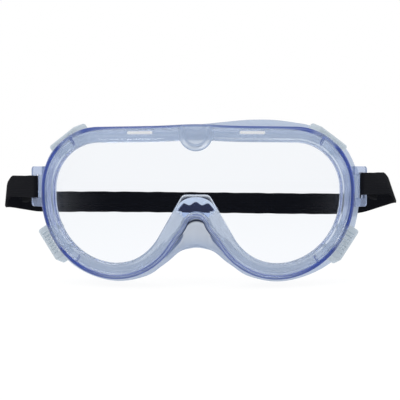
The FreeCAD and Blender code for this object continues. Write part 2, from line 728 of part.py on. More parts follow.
def make_clip(name, side):
    """A clear plastic clip: a plate with a lug window, a strap slot and a hinge bar."""
    body = doc.addObject("PartDesign::Body", name)
    tall = "Sizes.clip_half_height"
    opening = f"({tall} - Sizes.clip_arm)"
    plate = sketch_on(body, name + "_plate", "XZ_Plane")
    rectangle(plate, "-Sizes.clip_start", "Sizes.clip_length", f"-{tall}", tall)
    pad = feature_on(body, "Pad", name + "_pad", plate, Midplane=True,
                     Length="Sizes.clip_thickness")
    outer = size("clip_length")
    rounded = body.newObject("PartDesign::Fillet", name + "_round")
    rounded.Base = (pad, [f"Edge{i}" for i, edge in enumerate(pad.Shape.Edges, start=1)
                          if edge.BoundBox.XMin > outer - 1e-6 and edge.BoundBox.ZLength < 1e-6])
    rounded.setExpression("Radius", "Sizes.clip_corner_radius")
    doc.recompute()
    for what, left, right in (
        ("window", "-2 * Sizes.clip_start", "Sizes.lug_window_end"),
        ("slot", "Sizes.slot_start", "Sizes.slot_end"),
    ):
        hole = sketch_on(body, f"{name}_{what}", "XZ_Plane")
        rectangle(hole, left, right, f"-{opening}", opening)
        feature_on(body, "Pocket", f"{name}_{what}_cut", hole, Midplane=True, Type="ThroughAll")
    bar = sketch_on(body, name + "_bar", "XY_Plane")
    bar.addGeometry(Part.Circle(Vector(0, 0, 0), Vector(0, 0, 1), size("bar_radius")), False)
    bar.addConstraint(Sketcher.Constraint("Coincident", 0, 3, -1, 1))
    hold(bar, Sketcher.Constraint("Radius", 0, size("bar_radius")), "Sizes.bar_radius")
    feature_on(body, "Pad", name + "_hinge_bar", bar, Midplane=True, Length=f"2 * {tall}")
    angle = 90 - side * size("clip_angle")
    body.Placement = Placement(hinge_point(side), Rotation(Vector(0, 0, 1), angle))
    return body


# ---------------------------------------------------------------- the headband


def band_side(offset):
    """One side of the right half of the band in plan, from the tail's cut end to the back.

    The band only ever turns left, so its outer side adds the offset to every radius.
    """
    heading = math.radians(90 - size("clip_angle"))
    along_clip = Vector(math.cos(heading), math.sin(heading), 0)
    inward = Vector(-math.sin(heading), math.cos(heading), 0)
    hinge = Vector(size("hinge_across"), size("hinge_back"), 0)
    start = hinge + along_clip * size("band_tail") + inward * size("band_turn")
    bend = math.pi - heading - math.radians(size("band_rear_lean"))
    moves = [
        ("go", size("band_tail") - size("band_turn_place"), 0),
        ("turn", size("band_turn"), math.pi),
        ("go", size("band_straight") - size("band_turn_place"), 0),
        ("turn", size("band_bend_radius"), bend),
    ]
    edges = []
    point, angle = start, heading + math.pi
    for kind, amount, turn in moves:
        ahead = Vector(math.cos(angle), math.sin(angle), 0)
        left = Vector(-math.sin(angle), math.cos(angle), 0)
        if kind == "go":
            end = point + ahead * amount
            edges.append(Part.LineSegment(point - left * offset, end - left * offset).toShape())
        else:
            centre = point + left * amount
            whole = Part.Circle(centre, Vector(0, 0, 1), amount + offset)
            edges.append(whole.toShape(angle - math.pi / 2, angle - math.pi / 2 + turn))
            angle += turn
            end = centre + Vector(math.sin(angle), -math.cos(angle), 0) * amount
        point = end
    lean = math.radians(size("band_rear_lean"))
    rear = point.x / math.sin(lean)
    centre = Vector(0, point.y - rear * math.cos(lean), 0)
    whole = Part.Circle(centre, Vector(0, 0, 1), rear + offset)
    edges.append(whole.toShape(math.pi / 2 - lean, math.pi / 2))
    return edges


def make_headband():
    """The elastic headband: an upright wall on its plan, cut to the band's height by two
    parallel planes that slope down towards the back of the head."""
    half = size("band_thickness") / 2
    outer, inner = band_side(half), band_side(-half)
    tail = Part.LineSegment(outer[0].Vertexes[0].Point, inner[0].Vertexes[0].Point).toShape()
    right = outer + inner + [tail]
    left = [edge.mirror(Vector(0, 0, 0), Vector(1, 0, 0)) for edge in right]
    wire = Part.Wire(Part.__sortEdges__(right + left))
    plan = feature("headband_plan", Part.Face(wire))
    wall = doc.addObject("Part::Extrusion", "headband_wall")
    wall.Base = plan
    wall.DirMode = "Custom"
    wall.Dir = Vector(0, 0, 1)
    wall.Solid = True
    wall.Symmetric = True
    bind(wall, LengthFwd="3 * Sizes.band_height")
    wall.Placement.Base = Vector(0, 0, size("hinge_height"))
    slab = box("headband_slab", "4 * Sizes.face_half_width", "6 * Sizes.face_depth",
               "Sizes.band_height * cos(Sizes.band_droop * 1 deg)")
    middle = Vector(2 * size("face_half_width"), 3 * size("face_depth"),
                    size("band_height") * math.cos(math.radians(size("band_droop"))) / 2)
    through_slot = (size("band_turn_place") - size("band_turn")) / math.sqrt(2)
    pivot = Vector(0, size("hinge_back") + through_slot, size("hinge_height"))
    droop = Rotation(Vector(1, 0, 0), -size("band_droop"))
    slab.Placement = Placement(pivot, droop).multiply(Placement(-middle, Rotation()))
    band = doc.addObject("Part::Common", "headband")
    band.Base = wall
    band.Tool = slab
    return band


# ---------------------------------------------------------------- the whole object


def check(parts):
    """Stop if any object failed to compute, or a part is not one valid solid."""
    for item in doc.Objects:
        if "Invalid" in item.State or "Error" in item.State:
            raise RuntimeError(f"{item.Name} did not compute: {item.State}")
    for part in parts:
        shape = part.Shape
        if shape.isNull() or not shape.isValid() or len(shape.Solids) != 1:
            raise RuntimeError(f"{part.Label} is not one valid solid")


def build():
    """Make every sub-part, check it and write it out."""
    fill_sheet()
    rim, face = Outline("rim"), Outline("face")
    clearance = feature("wall_clearance", ring_solid(rim, face, wall_clearance_section()))
    parts = [make_lens(rim)]
    parts += [make_vent_cap(place, clearance) for place in cap_places(rim)]
    parts += [make_clip("strap_clip_left", -1), make_clip("strap_clip_right", 1)]
    parts += [make_headband(), make_frame(rim, face)]
    doc.recompute()
    check(parts)
    os.makedirs("parts", exist_ok=True)
    for part in parts:
        part.Label = part.Name
        part.Shape.exportStep(f"parts/{part.Label}.step")
        room = part.Shape.BoundBox
        print(part.Label, round(part.Shape.Volume), room)


build()
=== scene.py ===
import json
import math

import bmesh
import bpy
import numpy as np
from mathutils import Matrix, Vector, kdtree


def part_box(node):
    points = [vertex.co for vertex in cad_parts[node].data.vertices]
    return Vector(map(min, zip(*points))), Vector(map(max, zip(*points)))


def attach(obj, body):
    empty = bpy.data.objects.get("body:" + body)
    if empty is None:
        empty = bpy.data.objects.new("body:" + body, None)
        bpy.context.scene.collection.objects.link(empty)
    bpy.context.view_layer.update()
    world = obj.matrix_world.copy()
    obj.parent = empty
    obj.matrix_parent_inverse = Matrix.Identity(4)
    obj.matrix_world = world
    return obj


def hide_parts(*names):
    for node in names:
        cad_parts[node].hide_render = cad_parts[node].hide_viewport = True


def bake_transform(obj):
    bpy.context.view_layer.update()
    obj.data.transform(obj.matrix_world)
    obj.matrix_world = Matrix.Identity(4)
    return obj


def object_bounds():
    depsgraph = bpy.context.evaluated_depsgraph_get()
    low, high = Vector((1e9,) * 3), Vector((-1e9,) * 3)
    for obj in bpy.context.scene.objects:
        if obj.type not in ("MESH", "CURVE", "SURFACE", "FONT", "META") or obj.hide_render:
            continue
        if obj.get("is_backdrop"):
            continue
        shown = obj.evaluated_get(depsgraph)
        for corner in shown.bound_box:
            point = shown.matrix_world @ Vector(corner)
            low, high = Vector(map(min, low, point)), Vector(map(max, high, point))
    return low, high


# Chemical-splash goggles: a soft clear-blue frame with a curved lens, four milky vent caps,
# two clear strap clips and a black elastic headband.
# Lengths are in millimetres until a mesh is made. +Y runs from the lens to the wearer.

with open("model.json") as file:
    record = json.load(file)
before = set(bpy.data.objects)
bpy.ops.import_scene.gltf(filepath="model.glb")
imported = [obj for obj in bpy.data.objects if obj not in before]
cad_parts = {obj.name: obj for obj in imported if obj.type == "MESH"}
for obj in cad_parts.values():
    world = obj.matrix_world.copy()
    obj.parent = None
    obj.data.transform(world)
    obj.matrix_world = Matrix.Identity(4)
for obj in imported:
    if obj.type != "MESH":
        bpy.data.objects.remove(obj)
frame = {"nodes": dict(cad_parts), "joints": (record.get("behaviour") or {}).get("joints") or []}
cad_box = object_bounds()

MM = 0.001


def corners_of(node):
    """Lowest and highest corner of a CAD node, in millimetres."""
    low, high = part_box(node)
    return np.array(low) / MM, np.array(high) / MM


JOINTS = {joint["name"]: joint for joint in frame["joints"]}
HINGE = np.array(JOINTS["clip_right_swivel"]["pos_m"]) / MM
LENS_LOW, LENS_HIGH = corners_of("lens")
FRAME_LOW, FRAME_HIGH = corners_of("frame")

# the frame
BEND = 160.0  # radius of the lens about a vertical axis
LENS_INSET = 2.8  # the lens edge lies this far inside the rim's outline
RIM_DEPTH = 8.0
WALL_STEP = 1.2
WALL_THICKNESS = 2.0
LIP = 8.4  # width of the lip that frames the clear opening
FACE_DEPTH = 32.0
NOSE_RELIEF = 15.0  # how much shallower the frame is over the nose
NOSE_REACH = 24.0
SEAL_WIDTH = 7.5
BUTTON_HEIGHT = 36.7
BUTTON_RADIUS = 9.0
BUTTON_TOP = 41.0  # the button's round is cut flat at this height
HALF_LUG = 6.4
LUG_RADIUS = 2.7
LUG_ROOT = 3.6  # how far in from the hinge a lug is rooted in the wall
LUG_BORE = 1.6
LUG_MOUTH = 2.2
PAD_PLACE = (29.8, 37.6)  # middle of a brow pad in the front view
RIB_HALF = 10.0  # half the length of the nose rib


# ---------------------------------------------------------------- meshes


def make_object(name, points, faces):
    """A smooth mesh object from points in millimetres."""
    mesh = bpy.data.meshes.new(name)
    mesh.from_pydata((np.asarray(points) * MM).tolist(), [], faces)
    obj = bpy.data.objects.new(name, mesh)
    bpy.context.scene.collection.objects.link(obj)
    return obj


def sweep(name, grid, ring):
    """A tube through a grid of points, [station][place on the section].

    The section is closed. With ring the last station joins the first, else both ends are capped.
    """
    stations, around = grid.shape[:2]
    faces = []
    for i in range(stations if ring else stations - 1):
        here, there = i * around, (i + 1) % stations * around
        for j in range(around):
            k = (j + 1) % around
            faces.append((here + j, here + k, there + k, there + j))
    if not ring:
        faces.append(tuple(range(around - 1, -1, -1)))
        faces.append(tuple(range((stations - 1) * around, stations * around)))
    obj = make_object(name, grid.reshape(-1, 3), faces)
    face_outwards(obj)
    return obj


def face_outwards(obj):
    """Turn a closed mesh's faces outwards."""
    shape = bmesh.new()
    shape.from_mesh(obj.data)
    bmesh.ops.recalc_face_normals(shape, faces=shape.faces)
    if shape.calc_volume(signed=True) < 0:
        bmesh.ops.reverse_faces(shape, faces=shape.faces)
    shape.to_mesh(obj.data)
    shape.free()


def apply_modifiers(obj):
    """Put the result of an object's modifiers into its mesh."""
    bpy.context.view_layer.update()
    graph = bpy.context.evaluated_depsgraph_get()
    mesh = bpy.data.meshes.new_from_object(obj.evaluated_get(graph))
    obj.modifiers.clear()
    obj.data = mesh


def combine(obj, tools, operation):
    """Add tools to a solid (UNION) or cut them out of it (DIFFERENCE)."""
    for tool in tools:
        modifier = obj.modifiers.new("combine", "BOOLEAN")
        modifier.operation = operation
        modifier.solver = "MANIFOLD"
        modifier.object = tool
    apply_modifiers(obj)
    for tool in tools:
        bpy.data.objects.remove(tool)


def join_meshes(obj, others):
    """Move the meshes of other objects into obj."""
    shape = bmesh.new()
    shape.from_mesh(obj.data)
    for other in others:
        shape.from_mesh(other.data)
        bpy.data.objects.remove(other)
    shape.to_mesh(obj.data)
    shape.free()


def bevel(obj, width, segments=2, angle=40):
    """Round the sharp edges of a solid."""
    modifier = obj.modifiers.new("bevel", "BEVEL")
    modifier.width = width * MM
    modifier.segments = segments
    modifier.limit_method = "ANGLE"
    modifier.angle_limit = math.radians(angle)
    apply_modifiers(obj)


def smooth(obj, angle=40):
    """Smooth shading, except over edges sharper than the angle."""
    obj.data.shade_smooth()
    obj.data.set_sharp_from_angle(angle=math.radians(angle))


def prism(name, outline, low, high, place=None):
    """A solid with a flat outline, from z = low to z = high, moved by a placement matrix."""
    count = len(outline)
    points = [(x, y, low) for x, y in outline] + [(x, y, high) for x, y in outline]
    faces = [tuple(range(count - 1, -1, -1)), tuple(range(count, 2 * count))]
    for i in range(count):
        j = (i + 1) % count
        faces.append((i, j, j + count, i + count))
    if place is not None:
        points = [tuple(place @ Vector(p)) for p in points]
    obj = make_object(name, points, faces)
    face_outwards(obj)
    return obj


def circle(radius, x=0.0, y=0.0, count=48):
    """The outline of a circle."""
    turns = [2 * math.pi * i / count for i in range(count)]
    return [(x + radius * math.cos(a), y + radius * math.sin(a)) for a in turns]


def rectangle(x0, x1, y0, y1, corner=0.0, steps=5):
    """The outline of a rectangle, with its corners rounded if a radius is given."""
    if corner == 0:
        return [(x0, y0), (x1, y0), (x1, y1), (x0, y1)]
    centres = [(x1 - corner, y1 - corner), (x0 + corner, y1 - corner),
               (x0 + corner, y0 + corner), (x1 - corner, y0 + corner)]
    outline = []
    for quarter, (x, y) in enumerate(centres):
        for step in range(steps + 1):
            angle = math.pi / 2 * (quarter + step / steps)
            outline.append((x + corner * math.cos(angle), y + corner * math.sin(angle)))
    return outline


def lathe(name, profile, place, count=72):
    """A solid turned about its own z axis from a profile of (radius, height) that starts and
    ends on the axis."""
    inner = profile[1:-1]
    points = [(0, 0, profile[0][1]), (0, 0, profile[-1][1])]
    for i in range(count):
        angle = 2 * math.pi * i / count
        points += [(r * math.cos(angle), r * math.sin(angle), h) for r, h in inner]
    rows = len(inner)
    faces = []
    for i in range(count):
        here = 2 + i * rows
        there = 2 + (i + 1) % count * rows
        faces.append((0, here, there))
        faces.append((1, there + rows - 1, here + rows - 1))
        for k in range(rows - 1):
            faces.append((here + k, here + k + 1, there + k + 1, there + k))
    obj = make_object(name, [tuple(place @ Vector(p)) for p in points], faces)
    face_outwards(obj)
    return obj


def smooth_step(value, low, high):
    """0 below low, 1 above high, and a smooth rise between them."""
    t = np.clip((value - low) / (high - low), 0.0, 1.0)
    return t * t * (3 - 2 * t)


# ---------------------------------------------------------------- the front view


class Outline:
    """The goggles' front view: a top line, two corners, two lobes and a nose arch.

    corner, lobe, turn and arch are radii: turn is the bend from a lobe up to the nose, and
    across is its centre's distance from the middle. points are (x, z) all the way round, and
    normals point outwards from the same places.
    """

    STEPS = (40, 44, 6, 64, 44, 14, 30)  # of each piece of the right half, from the top middle

    def __init__(self, half_width, top, bottom, corner, lobe, turn, across, arch_top, arch):
        self.corner = (half_width - corner, top - corner)
        self.corner_radius = corner
        self.lobe = (half_width - lobe, bottom + lobe)
        self.lobe_radius = lobe
        drop = math.sqrt((lobe - turn) ** 2 - (self.lobe[0] - across) ** 2)
        self.turn = (across, self.lobe[1] - drop)
        self.arch = (0.0, arch_top - arch)
        self.arch_radius = arch
        lobe_end = math.atan2(-drop, across - self.lobe[0])
        run = (-across, self.arch[1] - self.turn[1])
        lean = math.acos((turn + arch) / math.hypot(*run))
        flank = math.remainder(math.atan2(run[1], run[0]) + lean, 2 * math.pi)
        arcs = [
            self.arc(self.corner, corner, math.pi / 2, 0.0, self.STEPS[1]),
            self.arc(self.lobe, lobe, 0.0, lobe_end, self.STEPS[3]),
            self.arc(self.turn, turn, lobe_end, flank, self.STEPS[4]),
            self.arc(self.arch, -arch, flank, -math.pi / 2, self.STEPS[6]),
        ]
        top_line = self.line((0.0, top), arcs[0][0][0], (0.0, 1.0), self.STEPS[0])
        side_line = self.line(arcs[0][0][-1], arcs[1][0][0], (1.0, 0.0), self.STEPS[2])
        flank_line = self.line(arcs[2][0][-1], arcs[3][0][0], arcs[2][1][-1], self.STEPS[5])
        order = [top_line, arcs[0], side_line, arcs[1], arcs[2], flank_line, arcs[3]]
        points = np.concatenate([piece[0][:-1] for piece in order] + [arcs[3][0][-1:]])
        normals = np.concatenate([piece[1][:-1] for piece in order] + [arcs[3][1][-1:]])
        flip = np.array([-1.0, 1.0])
        self.points = np.concatenate([points, points[-2:0:-1] * flip])
        self.normals = np.concatenate([normals, normals[-2:0:-1] * flip])

    @staticmethod
    def arc(centre, radius, first, last, count):
        """Points and normals of an arc. A negative radius makes a hollow arc."""
        angles = np.linspace(first, last, count + 1)
        normals = np.stack([np.cos(angles), np.sin(angles)], axis=1)
        return np.array(centre) + radius * normals, normals

    @staticmethod
    def line(start, end, normal, count):
        """Points and normals of a straight line."""
        share = np.linspace(0.0, 1.0, count + 1)[:, None]
        points = np.array(start) * (1 - share) + np.array(end) * share
        return points, np.tile(np.array(normal), (count + 1, 1))


def bump_at(value, middle, width):
    """1 at the middle value, fading to nothing a few widths away."""
    return np.exp(-(((value - middle) / width) ** 2))


RIM = Outline(LENS_HIGH[0] + LENS_INSET, LENS_HIGH[2] + LENS_INSET, LENS_LOW[2] - LENS_INSET,
              corner=34.0, lobe=44.4, turn=37.2, across=44.2, arch_top=-7.7, arch=6.4)
FACE = Outline(94.0, FRAME_HIGH[2], FRAME_LOW[2],
               corner=36.0, lobe=48.0, turn=40.5, across=46.8, arch_top=-24.8, arch=14.0)

# the top line rises a little over the button, and the nose arch is a little pointed
RIM.points[:, 1] += 0.9 * bump_at(RIM.points[:, 0], 0.0, 15.0) * (RIM.points[:, 1] > 0)
NOSE_PINCH = 1.3 * bump_at(np.abs(RIM.points[:, 0]), 6.6, 3.0) * (RIM.points[:, 1] < 0)
RIM.points += RIM.normals * NOSE_PINCH[:, None]


def bent(x, depth):
    """The Y of a point at a depth behind the curved front face, square to it in the rim."""
    square = np.minimum(depth, RIM_DEPTH)
    return BEND - np.sqrt((BEND - square) ** 2 - x**2) + depth - square


def face_depths():
    """Depth of the face edge at each station, less over the nose."""
    nose = np.array([0.0, FACE.arch[1] + FACE.arch_radius])
    away = np.linalg.norm(FACE.points - nose, axis=1)
    return FACE_DEPTH - NOSE_RELIEF * bump_at(away, 0.0, NOSE_REACH)


def soft_face_points():
    """The face edge as soft plastic lies: dipped at the left brow and fuller on the right."""
    points = FACE.points.copy()
    x, z = points[:, 0], points[:, 1]
    brow = smooth_step(z, 18.0, 44.0)
    dip = -2.4 * (1 - smooth_step(x, -8.0, 30.0)) - 0.8 * bump_at(x, -22.0, 14.0)
    hump = 2.1 * bump_at(x, 47.0, 18.0)
    points[:, 1] += brow * (dip + hump)
    saddle = 1.4 * bump_at(np.abs(x), 10.0, 4.5) + 0.4 * bump_at(x, 0.0, 5.0)
    points[:, 1] += saddle * (z < 0)
    angle = np.degrees(np.arctan2(z, np.abs(x)))
    lobes = smooth_step(-z, 5, 25) * smooth_step(np.abs(x), 18.0, 30.0)
    lobes = lobes * smooth_step(FACE.normals[:, 1], -1.0, -0.75)
    corners = bump_at(angle, 38.0, 13.0) * np.where(x > 0, 2.4, 0.8)
    points += FACE.normals * (1.1 * lobes - corners)[:, None]
    side = smooth_step(np.abs(x), 50.0, 90.0) * (1 - smooth_step(z, 0.0, 30.0))
    points[:, 0] += side * np.where(x > 0, 1.8, 0.6)
    return points


def nose_lift():
    """Extra width of the lip at each station: it rises to a flat-topped arch over the nose."""
    side = 0.75  # extra width along the flanks
    top = 19.0  # the flat top, from the centre of the nose arch
    flank = math.radians(60.4)  # direction square to a flank, from straight up
    steep = 1.2  # largest angle at which a straight edge is followed
    sharp = 26  # how sharp the two upper corners are
    offset = RIM.points - np.array(RIM.arch)
    angle = np.abs(np.arctan2(offset[:, 0], offset[:, 1]))
    reach = RIM.arch_radius + LIP
    flat = top / np.cos(np.minimum(angle, steep))
    slope = (reach + side) / np.cos(np.minimum(np.abs(angle - flank), steep))
    arch = (flat**-sharp + slope**-sharp) ** (-1 / sharp)
    near = np.abs(RIM.points[:, 0]) < 30
    low = RIM.points[:, 1] < 0
    inside = near & low & (angle < flank)
    fade = side * (1 - smooth_step(np.abs(RIM.points[:, 0]), 10.0, 40.0)) * low
    return np.where(inside, arch - reach, fade) + NOSE_PINCH


# ---------------------------------------------------------------- the soft frame

WALL_START = (0.05, 0.35)  # where the wall starts to flare: share of the flare, of its length
WALL_END = (0.28, 0.75)  # where it turns out to the face
INNER = WALL_STEP + WALL_THICKNESS

# corners of the frame's section: share of the flare, offset outwards, share of the wall's
# length, depth, and the radius that rounds the corner
FRAME_SECTION = [
    (0.0, -LIP, 0.0, 0.55, 0.35),
    (0.0, -7.5, 0.0, 0.1, 0.4),
    (0.0, -6.3, 0.0, 0.5, 0.5),
    (0.0, -4.6, 0.0, 0.35, 0.6),
    (0.0, -3.4, 0.0, 0.45, 0.5),
    (0.0, -2.5, 0.0, -0.4, 0.5),
    (0.0, -1.3, 0.0, -0.8, 0.8),
    (0.0, 0.0, 0.0, 0.1, 0.9),
    (0.0, 0.0, 0.0, RIM_DEPTH - WALL_STEP, 0.6),
    (0.0, -WALL_STEP, 0.0, RIM_DEPTH, 0.7),
    (WALL_START[0], -WALL_STEP, WALL_START[1], RIM_DEPTH, 6.0),
    (WALL_END[0], -WALL_STEP, WALL_END[1], RIM_DEPTH, 4.0),
    (1.0, 0.0, 1.0, RIM_DEPTH - 2.2, 1.0),
    (1.0, 0.1, 1.0, RIM_DEPTH - 0.9, 0.5),
    (1.0, -SEAL_WIDTH, 1.0, RIM_DEPTH + 0.4, 0.45),
    (1.0, -SEAL_WIDTH, 1.0, RIM_DEPTH - 0.6, 0.45),
    (WALL_END[0] + 0.1, -INNER, WALL_END[1], RIM_DEPTH, 4.0),
    (WALL_START[0], -INNER, WALL_START[1], RIM_DEPTH, 6.0),
    (0.0, -INNER, 0.0, RIM_DEPTH, 0.9),
    (0.0, -3.6, 0.0, 7.86, 0.1),
    (0.0, -7.4, 0.0, 6.55, 0.1),
    (0.0, -LIP, 0.0, 6.2, 0.5),
    (0.0, -LIP, 0.0, 4.0, 0.25),
    (0.0, -7.4, 0.0, 4.0, 0.1),
    (0.0, -3.6, 0.0, 4.0, 0.1),
    (0.0, -2.6, 0.0, 4.0, 0.2),
    (0.0, -2.6, 0.0, 1.9, 0.2),
    (0.0, -3.6, 0.0, 1.9, 0.1),
    (0.0, -7.4, 0.0, 1.9, 0.1),
    (0.0, -LIP, 0.0, 1.9, 0.25),
]


def rounded(corners, flare, length, steps=4):
    """Replace each corner of a section by a short curve through its radius."""
    rows = np.array([corner[:4] for corner in corners])
    plane = np.stack([rows[:, 1] + rows[:, 0] * flare, rows[:, 3] + rows[:, 2] * length], axis=1)
    result = []
    for i, (corner, radius) in enumerate(zip(rows, [corner[4] for corner in corners])):
        ends = []
        for j in (i - 1, (i + 1) % len(rows)):
            reach = min(radius / np.linalg.norm(plane[j] - plane[i]), 0.46)
            ends.append(corner + (rows[j] - corner) * reach)
        for t in np.linspace(0.0, 1.0, steps + 1):
            result.append((1 - t) ** 2 * ends[0] + 2 * t * (1 - t) * corner + t * t * ends[1])
    return np.array(result)


def frame_section():
    """The frame's section with rounded corners."""
    return rounded(FRAME_SECTION, 7.0, FACE_DEPTH - RIM_DEPTH)


def near_angle(angle, middle, reach):
    """1 within a reach of an angle in degrees, fading to 0 at twice the reach."""
    away = np.abs((angle - middle + 180) % 360 - 180)
    return 1 - smooth_step(away, reach, 2 * reach)


LIP_MILK = 0.33  # share of the flange's milkiness that the lip has, except at its clear sides


def frame_milk_and_painted_light():
    """How blue, milky, see-through and shaded the plastic looks at each grid point.

    The rounded bead looks deep blue: the plastic's tint, deepened by painted light for the light
    the bead gathers, least where a vent cap is behind it. The nose bridge is thin and clear, the
    thin flange is the milkiest, and a dark line of painted shade lies under the bead at the nose.
    The four are the channels 0 to 3, in this order.
    """
    section = frame_section()
    x, z = RIM.points[:, 0], RIM.points[:, 1]
    angle = np.degrees(np.arctan2(z, np.abs(x)))
    caps = near_angle(angle, 27.5, 3.0) + near_angle(angle, -14.0, 2.8)
    sides = smooth_step(np.abs(x), 40.0, 66.0)
    brow = (1 - sides) * (z > 0)
    nose = (1 - smooth_step(np.abs(x), 8.0, 14.0)) * (z < 10)
    away = np.hypot(x, z - RIM.arch[1])
    bridge = (np.abs(x) < 12) * (z < 10) * (away < 9) * smooth_step(z, -10.3, -9.7)
    # masks for the painted shade line under the bead at the nose and along its flanks
    under_nose = (1 - smooth_step(np.abs(x), 9.0, 12.5)) * (z < 0)
    flank = smooth_step(np.abs(x), 2.0, 4.0) * (1 - smooth_step(np.abs(x), 7.5, 10.0)) * (z < 0)
    # painted light: how deep the bead's painted blue is, less where a vent cap is behind it, over
    # the nose and over the middle of the brow
    strength = 0.85 + 0.15 * sides
    strength = strength * (1 - 0.45 * np.clip(caps, 0, 1)) * (1 - 0.25 * nose)
    strength = strength * (1 - 0.5 * bump_at(x, 0.0, 13.0) * (z > 0))
    clear = smooth_step(np.abs(x), 66.0, 76.0)
    split = (1 - sides) * 0.6  # how much paler the middle of the bead is than its two edges
    milk_and_painted_light = np.zeros((len(x), len(section), 4))
    for j, (blend, offset, share, depth) in enumerate(section):
        front = float(blend == 0 and depth < 3.0)
        reach = -offset + 1.3 * brow  # so the blue is narrower at the brow
        bead = float(offset < 0.1) * (1 - smooth_step(reach, 2.2, 2.9))
        line = bead * (1 - split * bump_at(offset, -1.3, 0.45) * (1 - brow))
        milk_and_painted_light[:, j, 0] = front * strength * line
        wall = float(offset > -INNER - 0.1 and depth > 3.0) * (0.25 + 0.75 * min(1, blend + share))
        flange = float(share > 0.9)
        # painted light: a faint painted blue line along the flange's outer edge
        edge = float(share > 0.9 and offset > -0.3 and depth > 6.6)
        milk_and_painted_light[:, j, 0] = np.maximum(milk_and_painted_light[:, j, 0], 0.35 * edge)
        milk_and_painted_light[:, j, 1] = np.maximum(max(wall, flange), LIP_MILK * (1 - clear))
        lip = float(-7.6 < offset < -3.3 and blend == 0 and depth < 7.95)
        milk_and_painted_light[:, j, 2] = bridge * lip
        # painted shade: a dark line just under the bead over the nose, and along the bead's side
        # on the nose flanks
        outside = float(offset > -INNER + 0.5 and blend > 0)
        crease_shade = outside * math.exp(-(((blend - 0.175) / 0.04) ** 4))
        bead_side = float(blend == 0 and offset > -0.4 and -0.2 < depth < 3.0)
        milk_and_painted_light[:, j, 3] = np.maximum(crease_shade * under_nose, bead_side * flank)
    return milk_and_painted_light


def paint(obj, grid, milk_and_painted_light):
    """Give each vertex the paint of the nearest grid point, painted light and shade included, for
    the material to read.
    """
    points = grid.reshape(-1, 3)
    values = milk_and_painted_light.reshape(-1, 4)
    tree = kdtree.KDTree(len(points))
    for i, point in enumerate(points):
        tree.insert(point, i)
    tree.balance()
    layer = obj.data.color_attributes.new("milk_and_painted_light", "FLOAT_COLOR", "POINT")
    slits = list(slit_places())
    lip_back = 2.2  # only the front lip is painted for the button and the slits
    for i, vertex in enumerate(obj.data.vertices):
        place = vertex.co / MM
        colour = values[tree.find(place)[1]].copy()
        from_button = math.hypot(place.x, place.z - BUTTON_HEIGHT)
        if from_button < BUTTON_RADIUS + 0.1 and place.y < lip_back:
            colour[1] = 0.6
        # painted shade: the slit walls take the bead's painted deep blue, so each slit shows as a
        # dark line
        for x, z, angle in slits:
            ahead = (place.x - x) * math.cos(angle) + (place.z - z) * math.sin(angle)
            beside = (place.z - z) * math.cos(angle) - (place.x - x) * math.sin(angle)
            if abs(ahead) < 2.0 and abs(beside) < 0.35 and place.y < bent(x, 0.0) + lip_back:
                colour[0] = 1.0
        layer.data[i].color = colour


def frame_grid():
    """Every point of the moulded ring, [station][place on the section]."""
    section = frame_section()
    deep = face_depths()
    face = soft_face_points()
    lift = nose_lift()
    away = np.hypot(FACE.points[:, 0], FACE.points[:, 1] - FACE.arch[1] - FACE.arch_radius)
    seal_share = 1 - 0.8 * np.exp(-((away / 30) ** 4))  # the flange is narrow round the nose
    grid = np.zeros((len(deep), len(section), 3))
    for j, (blend, offset, share, depth) in enumerate(section):
        lip_share = np.clip((-offset - INNER) / (LIP - INNER), 0, 1) * (1 - share) * (blend == 0)
        lifted = 0.5 if depth > 3.0 else 1.0  # the rear lip rises half as far as the front one
        reach = offset - lift * lip_share * lifted
        rim_points = RIM.points + RIM.normals * np.reshape(reach, (-1, 1))
        narrow = np.where(offset < -5, seal_share, 1.0)
        face_points = face + FACE.normals * (offset * narrow)[:, None]
        flat = rim_points + blend * (face_points - rim_points)
        grid[:, j, 0] = flat[:, 0]
        grid[:, j, 1] = bent(flat[:, 0], depth + share * (deep - RIM_DEPTH))
        grid[:, j, 2] = np.maximum(flat[:, 1], cad_box[0].z / MM)
    return grid


def make_button():
    """The round button at the top of the lip: a raised ring round a plain low dome."""
    sunk = 1.85  # depth of its back in the lip
    profile = [(0, 0.1), (3.2, -0.15), (4.6, -0.5), (5.3, -0.55), (5.9, 0.05), (6.6, 0.15),
               (7.2, -0.6), (8.3, -0.95), (BUTTON_RADIUS, -0.3), (BUTTON_RADIUS, sunk), (0, sunk)]
    place = Matrix.Translation((0, 0, BUTTON_HEIGHT)) @ Matrix.Rotation(-math.pi / 2, 4, "X")
    button = lathe("button", profile, place)
    top = prism("block", rectangle(-20, 20, -10, 10), BUTTON_TOP, BUTTON_TOP + 20)
    combine(button, [top], "DIFFERENCE")
    return button


def brow_pads():
    """Two plain raised pads on the brow of the lip."""
    half_length, half_height = 6.8, 0.8
    outline = rectangle(-half_length, half_length, -half_height, half_height, 0.7)
    for side in (-1, 1):
        x = side * PAD_PLACE[0]
        place = (Matrix.Translation((x, bent(x, 0.0) + 0.1, PAD_PLACE[1]))
                 @ Matrix.Rotation(math.asin(x / BEND), 4, "Z")
                 @ Matrix.Rotation(math.pi / 2, 4, "X"))
        yield prism("pad", outline, -1.2, 0.35, place)


def make_brow_pads():
    """The frosted pads as one piece, sunk a little into the lip."""
    first, second = brow_pads()
    join_meshes(first, [second])
    first.name = "brow_pads"
    bevel(first, 0.15)
    smooth(first, 40)
    first.data.materials.append(pad_material())
    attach(first, "goggle_body")


def crescent():
    """Front outline of the rib that stiffens the nose bridge: arched, with a scalloped edge."""
    across = np.linspace(-RIB_HALF, RIB_HALF, 81)
    rise = np.sqrt(1.001 - (across / RIB_HALF) ** 2)  # just over 1, so that its tips have width
    scallops = 0.75 * np.cos(2 * math.pi * across / 6.6)
    upper = -3.2 + 6.8 * rise
    lower = -2.7 + 3.0 * rise + scallops
    over = list(zip(across, upper))
    under = list(zip(across[::-1], lower[::-1]))
    return over + under[1:-1]


